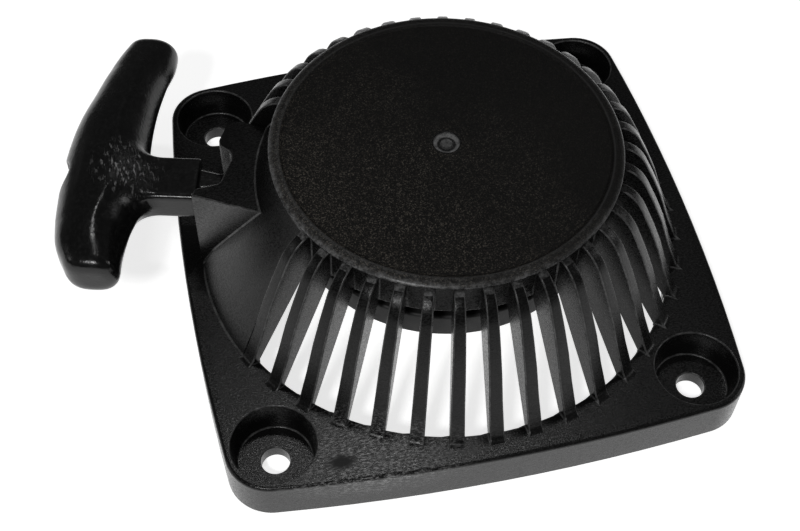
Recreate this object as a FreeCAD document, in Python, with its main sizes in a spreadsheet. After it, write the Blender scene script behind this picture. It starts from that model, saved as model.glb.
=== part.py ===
import FreeCAD, Part
import math
import os
import Sketcher
from FreeCAD import Placement, Rotation, Vector

# Recoil starter for a small engine, in millimetres.
# Origin: on the reel's axis, at the face that bolts to the engine. +Z points to the closed cap.
# The rope leaves on the -X side. Below the origin is the engine.

SHEET = {
    # square flange
    "flange_half": 57.5, "flange_side_radius": 458.0, "flange_corner_radius": 9.5, "flange_top": 10.4,
    "flange_skin": 3.0, "flange_skirt": 2.6, "flange_edge_round": 0.8,
    "bolt_spacing": 90.0, "bolt_hole_radius": 3.0, "bolt_seat": 3.4,
    "recess_floor_radius": 7.9, "recess_mouth_radius": 8.8, "cup_radius": 11.0,
    "opening_radius": 51.4, "collar_radius": 53.6,
    # dome of ribs
    "cap_radius": 36.9, "cap_top": 42.3, "cap_skin": 2.5, "rim_inner_radius": 34.0, "rim_step": 0.4,
    "ring_outer_radius": 36.0, "ring_inner_radius": 33.8, "ring_bottom": 32.8,
    "shoulder_radius": 42.4, "shoulder_height": 35.9, "rib_foot_radius": 54.4,
    "rib_width_angle": 3.35, "rib_pitch": 8.86, "rib_count": 35, "first_rib_angle": -152.6,
    "wall_foot_radius": 53.2, "wall_top": 39.1, "wall_inset": 2.55,
    # rope outlet
    "outlet_angle": 151.0, "outlet_reach": 48.6, "outlet_top": 32.4, "notch_floor": 20.0,
    "outlet_near_side": 22.2, "outlet_far_side": -0.2, "outlet_corner_radius": 3.0, "notch_end": 44.2,
    "guide_offset": 13.0, "guide_height": 26.4, "guide_barrel_radius": 3.7, "guide_bore_radius": 2.4,
    "guide_inner_end": 38.0, "guide_outer_end": 44.1,
    # centre post and its fastening
    "post_radius": 7.04, "post_end": 17.0, "insert_radius": 3.6, "insert_top": 27.5,
    "screw_radius": 2.45, "screw_head_radius": 4.6, "screw_head_top": 9.2, "screw_head_skin": 3.2,
    "spacer_radius": 3.5, "spacer_top": 16.0, "spacer_bottom": 10.3, "thrust_radius": 12.0,
    "friction_wire_radius": 0.55, "friction_coil_radius": 4.6,
    # recoil spring
    "spring_inner_radius": 10.6, "spring_outer_radius": 32.6, "spring_turns": 9.0, "spring_strip": 0.5,
    "spring_bottom": 34.1, "spring_width": 5.2,
    "cover_bottom": 33.1, "cover_skin": 0.6, "cover_hole_radius": 10.2,
    # rope reel
    "reel_radius": 32.9, "reel_bore_radius": 7.1, "hub_radius": 9.4, "hub_bottom": 17.2, "hub_top": 38.8,
    "reel_rim_bottom": 19.8, "reel_rim_skin": 2.0, "web_bottom": 24.0, "groove_bottom": 26.0,
    "groove_top": 30.3, "reel_top": 32.4, "drum_radius": 16.0, "drum_bore_radius": 13.8,
    # pawls and friction plate
    "pawl_pivot_radius": 18.5, "pawl_pin_radius": 2.0, "pawl_bottom": 12.8, "pawl_skin": 3.8,
    "pawl_reach": 12.5, "pawl_rest_angle": -102.0, "pawl_swing": 30.0,
    "pawl_peg_reach": 4.5, "pawl_peg_radius": 1.2, "pawl_boss_radius": 4.2, "pawl_boss_bottom": 20.0,
    "friction_plate_radius": 23.4, "friction_plate_bottom": 10.6, "friction_plate_skin": 1.8,
    "friction_plate_turn": 25.0,
    # rope
    "rope_radius": 1.5, "coil_radius": 26.8, "lead_radius": 28.4,
    # pull handle
    "handle_angle": 166.0, "handle_offset": -0.95, "handle_height": 25.2,
    "stem_width": 11.8, "stem_thickness": 7.2, "stem_edge_round": 2.0, "nose_tip": 47.2, "nose_root": 51.9,
    "handle_bore_radius": 1.95, "knot_pocket_radius": 4.3, "knot_pocket_floor": 73.0,
}

doc = FreeCAD.newDocument("recoil_starter")
sheet = doc.addObject("Spreadsheet::Sheet", "Dimensions")
for row, (alias, number) in enumerate(SHEET.items(), start=1):
    sheet.set(f"A{row}", alias)
    sheet.set(f"B{row}", repr(number))
    sheet.setAlias(f"B{row}", alias)
doc.recompute()


class Size:
    """A size as a number and as the spreadsheet expression that gives it."""

    def __init__(self, value, text):
        self.value = value
        self.text = text

    def joined(self, other, sign, value):
        other_text = other.text if isinstance(other, Size) else repr(float(other))
        return Size(value, f"({self.text} {sign} {other_text})")

    def __add__(self, other):
        return self.joined(other, "+", self.value + number_of(other))

    def __sub__(self, other):
        return self.joined(other, "-", self.value - number_of(other))

    def __mul__(self, other):
        return self.joined(other, "*", self.value * number_of(other))


def number_of(size):
    return size.value if isinstance(size, Size) else float(size)


def dim(alias):
    return Size(float(sheet.get(alias)), f"Dimensions.{alias}")


def bind(target, prop, size):
    """Set a property, through an expression where the size comes from the sheet."""
    if isinstance(size, Size):
        target.setExpression(prop, size.text)
    elif prop.startswith(".Placement.Base."):
        setattr(target.Placement.Base, prop[-1], float(size))
    else:
        setattr(target, prop, float(size))


def place(target, x=0.0, y=0.0, z=0.0, turn=None, axis=Vector(0, 0, 1)):
    """Move a shape to x, y, z and turn it about an axis through its own origin."""
    angle = number_of(turn) if turn is not None else 0.0
    target.Placement = Placement(Vector(number_of(x), number_of(y), number_of(z)), Rotation(axis, angle))
    for letter, size in (("x", x), ("y", y), ("z", z)):
        if isinstance(size, Size):
            target.setExpression(f".Placement.Base.{letter}", size.text)
    if isinstance(turn, Size):
        target.setExpression(".Placement.Rotation.Angle", turn.text)
    return target


def cylinder(name, radius, height, x=0.0, y=0.0, z=0.0, turn=None, axis=Vector(0, 0, 1)):
    solid = doc.addObject("Part::Cylinder", name)
    bind(solid, "Radius", radius)
    bind(solid, "Height", height)
    return place(solid, x, y, z, turn, axis)


def cone(name, low_radius, high_radius, height, x=0.0, y=0.0, z=0.0, turn=None, axis=Vector(0, 0, 1)):
    solid = doc.addObject("Part::Cone", name)
    bind(solid, "Radius1", low_radius)
    bind(solid, "Radius2", high_radius)
    bind(solid, "Height", height)
    return place(solid, x, y, z, turn, axis)


def box(name, length, width, height, x=0.0, y=0.0, z=0.0):
    solid = doc.addObject("Part::Box", name)
    bind(solid, "Length", length)
    bind(solid, "Width", width)
    bind(solid, "Height", height)
    return place(solid, x, y, z)


def cut(name, base, tool):
    result = doc.addObject("Part::Cut", name)
    result.Base = base
    result.Tool = tool
    return result


def fuse(name, shapes, refine=True):
    result = doc.addObject("Part::MultiFuse", name)
    result.Shapes = shapes
    result.Refine = refine
    return result


def common(name, shapes):
    result = doc.addObject("Part::MultiCommon", name)
    result.Shapes = shapes
    return result


def polygon_sketch(body, name, plane, corners):
    """A closed outline in a body's origin plane, each corner held by sheet expressions."""
    sketch = body.newObject("Sketcher::SketchObject", name)
    origin_plane = [item for item in body.Origin.OriginFeatures if item.Role == plane][0]
    sketch.AttachmentSupport = [(origin_plane, "")]
    sketch.MapMode = "FlatFace"
    points = [Vector(number_of(u), number_of(v), 0) for u, v in corners]
    for start, end in zip(points, points[1:] + points[:1]):
        sketch.addGeometry(Part.LineSegment(start, end), False)
    for index in range(len(points)):
        following = (index + 1) % len(points)
        sketch.addConstraint(Sketcher.Constraint("Coincident", index, 2, following, 1))
    for index, corner in enumerate(corners):
        for kind, size in zip(("DistanceX", "DistanceY"), corner):
            held = sketch.addConstraint(Sketcher.Constraint(kind, -1, 1, index, 1, number_of(size)))
            if isinstance(size, Size):
                sketch.setExpression(f"Constraints[{held}]", size.text)
    return sketch


def turned_body(name, corners, sweep=None):
    """A body turned about the Z axis from a closed radius-height outline."""
    body = doc.addObject("PartDesign::Body", name)
    sketch = polygon_sketch(body, name + "_outline", "XZ_Plane", corners)
    revolution = body.newObject("PartDesign::Revolution", name + "_turned")
    revolution.Profile = sketch
    revolution.ReferenceAxis = (sketch, ["V_Axis"])
    if sweep is not None:
        bind(revolution, "Angle", sweep)
    body.Tip = revolution
    return body


def filleted(name, base, radius, chosen):
    """Round every edge that the function `chosen` accepts."""
    doc.recompute()
    result = doc.addObject("Part::Fillet", name)
    result.Base = base
    numbers = [index for index, edge in enumerate(base.Shape.Edges, start=1) if chosen(edge)]
    result.Edges = [(index, number_of(radius), number_of(radius)) for index in numbers]
    return result


def is_vertical(edge):
    return edge.BoundBox.ZLength > 0.5 and edge.BoundBox.XLength < 0.01 and edge.BoundBox.YLength < 0.01


def is_level_at(height):
    def check(edge):
        flat = edge.BoundBox.ZLength < 0.01
        return flat and abs(edge.BoundBox.ZMin - height) < 0.01
    return check


def bowed_square(name, inset, height):
    """A square whose sides bow outwards: where four large cylinders overlap."""
    sides = []
    shift = dim("flange_side_radius") - dim("flange_half")
    for number, (x, y) in enumerate(((1, 0), (-1, 0), (0, 1), (0, -1))):
        radius = dim("flange_side_radius") - inset
        side = cylinder(f"{name}_side_{number}", radius, height, x=shift * x, y=shift * y)
        sides.append(side)
    return filleted(name, common(name + "_blank", sides), dim("flange_corner_radius") - inset, is_vertical)


def bolt_places():
    half = dim("bolt_spacing") * 0.5
    return [(half * x, half * y) for x in (-1, 1) for y in (-1, 1)]


def make_flange():
    top = dim("flange_top")
    square = bowed_square("flange_square", Size(0.0, "0"), top)
    rounded = filleted("flange_rounded", square, dim("flange_edge_round"), is_level_at(top.value))
    hollow = bowed_square("flange_hollow", dim("flange_skirt"), top - dim("flange_skin"))
    cups = []
    for number, (x, y) in enumerate(bolt_places()):
        cups.append(cylinder(f"bolt_cup_{number}", dim("cup_radius"), top, x=x, y=y))
    collar = cylinder("opening_collar", dim("collar_radius"), top)
    pocket = cut("flange_pocket", hollow, fuse("flange_lands", cups + [collar]))
    shell = cut("flange_shell", rounded, pocket)
    tools = [cylinder("flange_opening", dim("opening_radius"), top + 4.0, z=-2.0)]
    depth = top - dim("bolt_seat")
    for number, (x, y) in enumerate(bolt_places()):
        tools.append(cylinder(f"bolt_hole_{number}", dim("bolt_hole_radius"), top + 4.0, x=x, y=y, z=-2.0))
        tools.append(cone(f"bolt_recess_{number}", dim("recess_floor_radius"), dim("recess_mouth_radius"),
                          depth, x=x, y=y, z=dim("bolt_seat")))
    return cut("flange", shell, fuse("flange_openings", tools))


def wall_radius(height, inset=0.0):
    """Radius of the plain cone of wall at a height."""
    foot = dim("wall_foot_radius")
    run = foot - dim("ring_outer_radius")
    rise = dim("wall_top") - dim("flange_top")
    slope = Size(run.value / rise.value, f"({run.text} / {rise.text})")
    return foot - inset - (height - dim("flange_top")) * slope


def rib_outline():
    """The section of a rib in radius and height, from its foot up to the cap and back down inside."""
    top = dim("flange_top")
    foot = dim("rib_foot_radius")
    shoulder = dim("shoulder_radius")
    shoulder_height = dim("shoulder_height")
    inner_foot = dim("opening_radius") - 0.3
    inner_top = dim("ring_inner_radius") + 0.6
    outline = [(inner_foot, top - 1.0), (foot, top - 1.0)]
    for inward, up in ((0.0, 0.0), (0.8, 0.25), (1.35, 0.7), (1.75, 1.5)):
        outline.append((foot - inward, top + up))
    outline += [(shoulder + 7.5, top + 7.9), (shoulder + 5.0, top + 14.9)]
    outline.append((shoulder + 2.5, shoulder_height - 5.0))
    for inward, up in ((0.0, 0.0), (0.7, 1.2), (1.5, 2.3), (2.4, 3.25), (3.3, 3.95), (4.3, 4.55),
                       (5.3, 4.95)):
        outline.append((shoulder - inward, shoulder_height + up))
    outline += [(inner_top, shoulder_height + 5.0), (inner_top, dim("ring_bottom"))]
    outline += [(dim("ring_outer_radius"), dim("ring_bottom")), (inner_foot, top)]
    return outline


def make_dome():
    """The ribs, and the plain piece of wall between the last rib and the first."""
    section = turned_body("rib_section", rib_outline())
    foot = dim("flange_top") - 1.0
    blades = []
    for number in range(int(sheet.get("rib_count"))):
        angle = dim("first_rib_angle") + dim("rib_pitch") * number - dim("rib_width_angle") * 0.5
        blade = cylinder(f"rib_blade_{number}", 60.0, 50.0, z=-1.0, turn=angle)
        blade.Angle = dim("rib_width_angle").value
        blade.setExpression("Angle", "Dimensions.rib_width_angle")
        blades.append(blade)
    fan = doc.addObject("Part::Compound", "rib_fan")
    fan.Links = blades
    ribs = common("ribs", [section, fan])
    sweep = Size(360.0, "360") - dim("rib_pitch") * (sheet.get("rib_count") - 1)
    upper = dim("ring_outer_radius") - 0.2
    wall = turned_body("plain_wall", [
        (wall_radius(foot, dim("wall_inset")), foot), (wall_radius(foot), foot),
        (upper, dim("wall_top") + 0.3), (upper, dim("wall_top") - 4.2),
    ], sweep)
    start = dim("first_rib_angle") - sweep
    place(wall, turn=start)
    return ribs, wall


def make_cap():
    top = dim("cap_top")
    face = top - dim("rim_step")
    rim = dim("cap_radius")
    return turned_body("cap", [
        (0.0, dim("insert_top") + 0.5), (dim("insert_radius") + 0.02, dim("insert_top") + 0.5),
        (dim("insert_radius") + 0.02, dim("post_end")), (dim("post_radius"), dim("post_end")),
        (dim("post_radius"), top - dim("cap_skin")), (dim("ring_inner_radius"), top - dim("cap_skin")),
        (dim("ring_inner_radius"), dim("ring_bottom")), (dim("ring_outer_radius"), dim("ring_bottom")),
        (dim("ring_outer_radius"), top - 1.15), (rim - 0.25, top - 1.15), (rim, top - 0.95),
        (rim - 0.12, top - 0.62), (rim - 0.45, top - 0.33), (rim - 1.0, top - 0.12), (rim - 1.8, top),
        (dim("rim_inner_radius") + 0.4, top), (dim("rim_inner_radius"), face), (2.9, face),
        (2.45, face - 0.7), (1.2, face - 0.7), (1.2, face - 0.3), (0.0, face - 0.3),
    ])


def make_outlet():
    """The boss that the rope leaves through, with a notch for the handle's nose in its outer end."""
    start = 25.0
    foot = dim("flange_top") - 1.0
    length = dim("outlet_reach") - start
    near = dim("outlet_near_side")
    far = dim("outlet_far_side")
    end = dim("notch_end")
    block = box("outlet_block", length, near - far, dim("outlet_top") - foot, x=start, y=far, z=foot)
    block = filleted("outlet_rounded", block, dim("outlet_corner_radius"),
                     lambda edge: is_vertical(edge) and edge.BoundBox.XMin > 40 and edge.BoundBox.YMin < 5)
    notch = doc.addObject("PartDesign::Body", "outlet_notch")
    outline = polygon_sketch(notch, "notch_outline", "XY_Plane", [
        (end + 7.0, far + 5.0), (end + 4.4, far + 6.6), (end + 4.0, far + 7.5), (end + 3.4, far + 8.0),
        (end + 1.4, far + 8.7), (end + 0.5, far + 9.5), (end, far + 10.9), (end, near - 5.3),
        (end + 0.2, near - 4.8), (end + 0.7, near - 4.4), (end + 4.4, near - 1.8), (end + 7.0, near),
    ])
    pad = notch.newObject("PartDesign::Pad", "notch_pad")
    pad.Profile = outline
    pad.Length = 30.0
    notch.Tip = pad
    place(notch, z=dim("notch_floor"))
    low = dim("flange_top") - 5.4
    high = dim("outlet_top") + 4.0
    inside = turned_body("dome_inside", [
        (0.0, low), (wall_radius(low, dim("wall_inset")), low),
        (wall_radius(high, dim("wall_inset")), high), (0.0, high),
    ])
    return cut("outlet", cut("outlet_notched", block, notch), inside)


def turn_about_axis(target, alias):
    target.Placement = Placement(Vector(), Rotation(Vector(0, 0, 1), sheet.get(alias)))
    target.setExpression(".Placement.Rotation.Angle", f"Dimensions.{alias}")
    return target


def make_housing():
    flange = make_flange()
    ribs, wall = make_dome()
    cap = make_cap()
    outlet = turn_about_axis(make_outlet(), "outlet_angle")
    lug = box("spring_lug", 2.4, 1.6, 6.0, x=31.8, y=0.15, z=dim("cap_top") - dim("cap_skin") - 5.4)
    body = fuse("housing_fused", [flange, ribs, wall, cap, outlet, lug])
    bore = cylinder("guide_hole", dim("guide_barrel_radius") + 0.02, 20.0,
                    x=30.0, y=dim("guide_offset"), z=dim("guide_height"), turn=90.0, axis=Vector(0, 1, 0))
    turned = doc.addObject("Part::Compound", "guide_hole_turned")
    turned.Links = [bore]
    return cut("starter_housing", body, turn_about_axis(turned, "outlet_angle"))


def outlet_point(reach, height):
    """A point on the rope guide's axis."""
    angle = math.radians(dim("outlet_angle").value)
    offset = dim("guide_offset").value
    x = reach * math.cos(angle) - offset * math.sin(angle)
    y = reach * math.sin(angle) + offset * math.cos(angle)
    return Vector(x, y, height)


def make_rope_guide():
    inner = dim("guide_inner_end")
    length = dim("guide_outer_end") - inner
    barrel = dim("guide_barrel_radius")
    bore = dim("guide_bore_radius")
    guide = turned_body("rope_guide_bush", [
        (bore + 0.8, 0.0), (barrel - 0.2, 0.0), (barrel, 0.2), (barrel, length - 0.2),
        (barrel - 0.2, length), (bore + 0.9, length), (bore + 0.35, length - 0.35), (bore, length - 1.2),
        (bore, 1.2), (bore + 0.3, 0.35),
    ])
    outward = Rotation(Vector(0, 0, 1), dim("outlet_angle").value).multiply(Rotation(Vector(0, 1, 0), 90))
    guide.Placement = Placement(outlet_point(inner.value, dim("guide_height").value), outward)
    return guide


def ring(name, inner, outer, bottom, skin):
    """A flat washer or plate."""
    top = bottom + skin
    return turned_body(name, [(inner, bottom), (outer, bottom), (outer, top), (inner, top)])


def make_insert():
    bore = dim("screw_radius") + 0.05
    radius = dim("insert_radius")
    low = dim("post_end")
    return turned_body("post_insert", [
        (bore, low), (radius, low), (radius, low + 3.2), (radius - 0.5, low + 3.6),
        (radius - 0.5, low + 4.6), (radius, low + 5.0), (radius, dim("insert_top")),
        (bore, dim("insert_top")),
    ])


def make_screw():
    head = dim("screw_head_top")
    base = head - dim("screw_head_skin")
    radius = dim("screw_head_radius")
    shank = turned_body("screw_turned", [
        (0.0, base), (radius - 1.5, base), (radius - 0.4, base + 0.7), (radius, base + 1.7), (radius, head),
        (dim("screw_radius"), head), (dim("screw_radius"), dim("insert_top") - 2.0),
        (dim("screw_radius") - 0.6, dim("insert_top") - 1.2), (0.0, dim("insert_top") - 1.2),
    ])
    slots = [box("screw_slot_long", 5.2, 1.2, 2.0, x=-2.6, y=-0.6, z=base - 0.2),
             box("screw_slot_cross", 1.2, 5.2, 2.0, x=-0.6, y=-2.6, z=base - 0.2)]
    return cut("centre_screw", shank, fuse("screw_recess", slots))


def make_recoil_spring():
    line = doc.addObject("Part::Spiral", "spring_line")
    spread = dim("spring_outer_radius") - dim("spring_inner_radius")
    turns = dim("spring_turns")
    bind(line, "Radius", dim("spring_inner_radius"))
    bind(line, "Rotations", turns)
    bind(line, "Growth", Size(spread.value / turns.value, f"{spread.text} / {turns.text}"))
    line.SegmentLength = 1.0
    place(line, z=dim("spring_bottom"))
    strip = doc.addObject("Part::Plane", "spring_section")
    bind(strip, "Length", dim("spring_strip"))
    bind(strip, "Width", dim("spring_width"))
    place(strip, dim("spring_inner_radius"), 0.0, dim("spring_bottom"), 90.0, Vector(1, 0, 0))
    return swept("recoil_spring", strip, line)


def swept(name, section, line):
    doc.recompute()
    sweep = doc.addObject("Part::Sweep", name)
    sweep.Sections = [section]
    sweep.Spine = (line, [f"Edge{number}" for number in range(1, len(line.Shape.Edges) + 1)])
    sweep.Solid = True
    sweep.Frenet = True
    return sweep


def coil_spring(name, radius, wire, bottom, height, turns, x=0.0, y=0.0):
    """A wire wound along Z between two heights."""
    line = doc.addObject("Part::Helix", name + "_line")
    rise = height - wire * 2.0
    bind(line, "Radius", radius)
    bind(line, "Height", rise)
    bind(line, "Pitch", rise * (1.0 / turns))
    place(line, x, y, bottom + wire)
    section = doc.addObject("Part::Circle", name + "_section")
    bind(section, "Radius", wire)
    place(section, radius + x, y, bottom + wire, 90.0, Vector(1, 0, 0))
    return swept(name, section, line)


def pivot(number):
    """The place of one pawl pin, and its direction from the reel's axis."""
    angle = 35.0 + 180.0 * number
    radius = dim("pawl_pivot_radius").value
    return radius * math.cos(math.radians(angle)), radius * math.sin(math.radians(angle)), angle


def make_reel():
    rim = dim("reel_radius")
    drum = dim("drum_radius")
    inner_drum = dim("drum_bore_radius")
    hub = dim("hub_radius")
    rim_inner = rim - dim("reel_rim_skin")
    disc = turned_body("reel_turned", [
        (dim("reel_bore_radius"), dim("hub_bottom")), (hub - 1.0, dim("hub_bottom")),
        (hub, dim("hub_bottom") + 1.0), (hub, dim("groove_top")),
        (inner_drum, dim("groove_top")), (inner_drum, dim("web_bottom")),
        (rim_inner, dim("web_bottom")), (rim_inner, dim("reel_rim_bottom")), (rim, dim("reel_rim_bottom")),
        (rim, dim("groove_bottom") - 0.4), (rim - 0.4, dim("groove_bottom")), (drum, dim("groove_bottom")),
        (drum, dim("groove_top")), (rim - 0.4, dim("groove_top")), (rim, dim("groove_top") + 0.4),
        (rim, dim("reel_top") - 0.4), (rim - 0.4, dim("reel_top")), (hub, dim("reel_top")),
        (hub, dim("hub_top")), (dim("reel_bore_radius"), dim("hub_top")),
    ])
    added = [disc]
    drilled = []
    for number in range(2):
        x, y, angle = pivot(number)
        height = dim("web_bottom") - dim("pawl_boss_bottom") + 0.5
        added.append(cylinder(f"pawl_boss_{number}", dim("pawl_boss_radius"), height, x=x, y=y,
                              z=dim("pawl_boss_bottom")))
        drilled.append(cylinder(f"pawl_pin_hole_{number}", dim("pawl_pin_radius") + 0.02, 8.0, x=x, y=y,
                                z=dim("pawl_boss_bottom") - 3.0))
    for number in range(8):
        spoke = box(f"reel_spoke_{number}", rim_inner - inner_drum + 0.4, 1.4, 1.6)
        turned = Rotation(Vector(0, 0, 1), 12.5 + 45.0 * number)
        corner = turned.multVec(Vector(inner_drum.value - 0.2, -0.7, dim("web_bottom").value - 1.4))
        spoke.Placement = Placement(corner, turned)
        added.append(spoke)
    body = fuse("reel_fused", added)
    hole = cylinder("reel_rope_hole", dim("rope_radius") + 0.25, 6.0,
                    x=inner_drum - 1.5, z=rope_height(), turn=90.0, axis=Vector(0, 1, 0))
    notch = box("reel_hub_notch", 4.0, 1.4, 6.0, x=7.6, y=-0.7, z=dim("hub_top") - 4.6)
    return cut("rope_reel", body, fuse("reel_openings", drilled + [hole, notch]))


def rope_height():
    return (dim("groove_bottom") + dim("groove_top")) * 0.5


def make_rope_coil():
    gap = 0.25
    low = dim("groove_bottom") + gap
    high = dim("groove_top") - gap
    return ring("starter_rope_coil", dim("drum_radius") + 0.15, dim("coil_radius"), low, high - low)


def make_reel_knot():
    middle = (dim("hub_radius") + dim("drum_bore_radius")) * 0.5
    lumps = []
    for number, (aside, up) in enumerate(((-1.1, -0.2), (1.1, -0.9), (0.1, 0.0), (-0.2, -1.9))):
        lump = doc.addObject("Part::Sphere", f"reel_knot_lump_{number}")
        lump.Radius = 1.9
        lumps.append(place(lump, middle, aside, rope_height() + up))
    stub = cylinder("reel_knot_stub", dim("rope_radius"), dim("drum_radius") - middle,
                    x=middle, z=rope_height(), turn=90.0, axis=Vector(0, 1, 0))
    return fuse("rope_reel_knot", lumps + [stub])


def make_pawl_pins():
    pins = []
    low = dim("pawl_bottom") - 0.2
    length = dim("web_bottom") + 0.4 - low
    for number in range(2):
        x, y, _ = pivot(number)
        pins.append(cylinder(f"pawl_pin_{number}", dim("pawl_pin_radius"), length, x=x, y=y, z=low))
    group = doc.addObject("Part::Compound", "pawl_pins")
    group.Links = pins
    return group


def make_pawl(number, name):
    """One pawl: a bored boss, a tapering arm and a rounded nose, with a peg beneath."""
    x, y, angle = pivot(number)
    low = dim("pawl_bottom")
    skin = dim("pawl_skin")
    reach = dim("pawl_reach")
    boss_radius = 4.0
    nose_radius = 1.1
    boss = cylinder(name + "_boss", boss_radius, skin, z=low)
    nose = cylinder(name + "_nose", nose_radius, skin, x=reach - nose_radius, z=low)
    body = doc.addObject("PartDesign::Body", name + "_arm")
    outline = polygon_sketch(body, name + "_arm_outline", "XY_Plane", [
        (0.3, -boss_radius + 0.02), (reach - nose_radius, -nose_radius), (reach - nose_radius, nose_radius),
        (0.3, boss_radius - 0.02),
    ])
    pad = body.newObject("PartDesign::Pad", name + "_arm_pad")
    pad.Profile = outline
    bind(pad, "Length", skin)
    body.Tip = pad
    place(body, z=low)
    peg_low = dim("friction_plate_bottom") + 0.1
    peg = cylinder(name + "_peg", dim("pawl_peg_radius"), low + 1.0 - peg_low,
                   x=dim("pawl_peg_reach"), z=peg_low)
    solid = fuse(name + "_fused", [boss, nose, body, peg])
    bore = cylinder(name + "_bore", dim("pawl_pin_radius") + 0.06, skin + 4.0, z=low - 2.0)
    pawl = cut(name, solid, bore)
    turned = Rotation(Vector(0, 0, 1), angle + dim("pawl_rest_angle").value)
    pawl.Placement = Placement(Vector(x, y, 0), turned)
    return pawl


def peg_place(number, share):
    """Where a pawl's peg stands on the friction plate when the pawl is a share of the way out."""
    x, y, angle = pivot(number)
    swing = math.radians(angle + dim("pawl_rest_angle").value + dim("pawl_swing").value * share)
    reach = dim("pawl_peg_reach").value
    x += reach * math.cos(swing)
    y += reach * math.sin(swing)
    back = math.radians(-dim("friction_plate_turn").value * share)
    return x * math.cos(back) - y * math.sin(back), x * math.sin(back) + y * math.cos(back)


def make_friction_plate():
    low = dim("friction_plate_bottom")
    skin = dim("friction_plate_skin")
    bore = dim("spacer_radius") + 0.06
    disc = ring("friction_disc", bore, dim("friction_plate_radius"), low, skin)
    width = dim("pawl_peg_radius").value + 0.4
    tools = []
    for number in range(2):
        stops = [peg_place(number, share) for share in (-0.04, 0.25, 0.5, 0.75, 1.04)]
        for step, (x, y) in enumerate(stops):
            tools.append(cylinder(f"slot_{number}_round_{step}", width, skin + 2.0, x=x, y=y, z=low - 1.0))
        for step, (start, end) in enumerate(zip(stops, stops[1:])):
            length = math.hypot(end[0] - start[0], end[1] - start[1])
            turn = math.atan2(end[1] - start[1], end[0] - start[0])
            piece = box(f"slot_{number}_straight_{step}", length, 2 * width, skin + 2.0)
            turned = Rotation(Vector(0, 0, 1), math.degrees(turn))
            corner = Vector(start[0], start[1], low.value - 1.0) + turned.multVec(Vector(0.0, -width, 0.0))
            piece.Placement = Placement(corner, turned)
            tools.append(piece)
    for number in range(4):
        angle = math.radians(75.0 + 90.0 * number)
        tools.append(cylinder(f"friction_window_{number}", 2.6, skin + 2.0, x=11.5 * math.cos(angle),
                              y=11.5 * math.sin(angle), z=low - 1.0))
    return cut("friction_plate", disc, fuse("friction_plate_openings", tools))


def rope_run():
    """The rope's path from the reel, through the guide, to the knot in the handle. It falls in the guide."""
    height = rope_height().value
    radius = dim("lead_radius").value
    play = dim("guide_bore_radius").value - dim("rope_radius").value - 0.15
    guide = outlet_point(dim("guide_inner_end").value - 0.2, dim("guide_height").value + play)
    far = math.hypot(guide.x, guide.y)
    leave = math.atan2(guide.y, guide.x) + math.acos(radius / far)
    first = Vector(radius * math.cos(leave), radius * math.sin(leave), height)
    second = outlet_point(dim("guide_outer_end").value + 0.1, dim("guide_height").value - play)
    mouth = handle_point(dim("nose_tip").value - 0.2)
    return [first, guide, second, mouth, handle_point(dim("knot_pocket_floor").value + 1.05)]


def handle_point(reach):
    angle = math.radians(dim("handle_angle").value)
    offset = -dim("handle_offset").value
    x = reach * math.cos(angle) - offset * math.sin(angle)
    y = reach * math.sin(angle) + offset * math.cos(angle)
    return Vector(x, y, dim("handle_height").value)


def make_rope_lead():
    points = rope_run()
    line = doc.addObject("Part::Polygon", "rope_line")
    line.Nodes = points
    section = doc.addObject("Part::Circle", "rope_section")
    bind(section, "Radius", dim("rope_radius"))
    section.Placement = Placement(points[0], Rotation(Vector(0, 0, 1), points[1] - points[0]))
    lead = swept("starter_rope_lead", section, line)
    lead.Transition = "Right corner"
    return lead


# The grip's plan: distance across from the stem's axis line, inner reach, outer reach, half thickness.
GRIP_STATIONS = [
    (-40.6, 66.5, 70.8, 1.9), (-40.0, 64.0, 72.6, 4.0), (-38.4, 62.6, 73.6, 5.0), (-34.5, 62.3, 75.2, 5.7),
    (-28.0, 63.6, 77.5, 6.5), (-21.8, 64.4, 79.1, 7.0), (-15.0, 64.6, 80.9, 7.3), (-7.0, 64.0, 82.0, 7.4),
    (1.0, 63.6, 82.2, 7.4), (8.6, 64.0, 81.8, 7.3), (14.0, 65.4, 81.4, 7.1), (20.0, 66.2, 80.0, 6.4),
    (24.0, 66.3, 77.9, 5.5), (26.0, 67.0, 75.9, 4.4), (26.7, 69.4, 73.4, 1.9),
]


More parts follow.
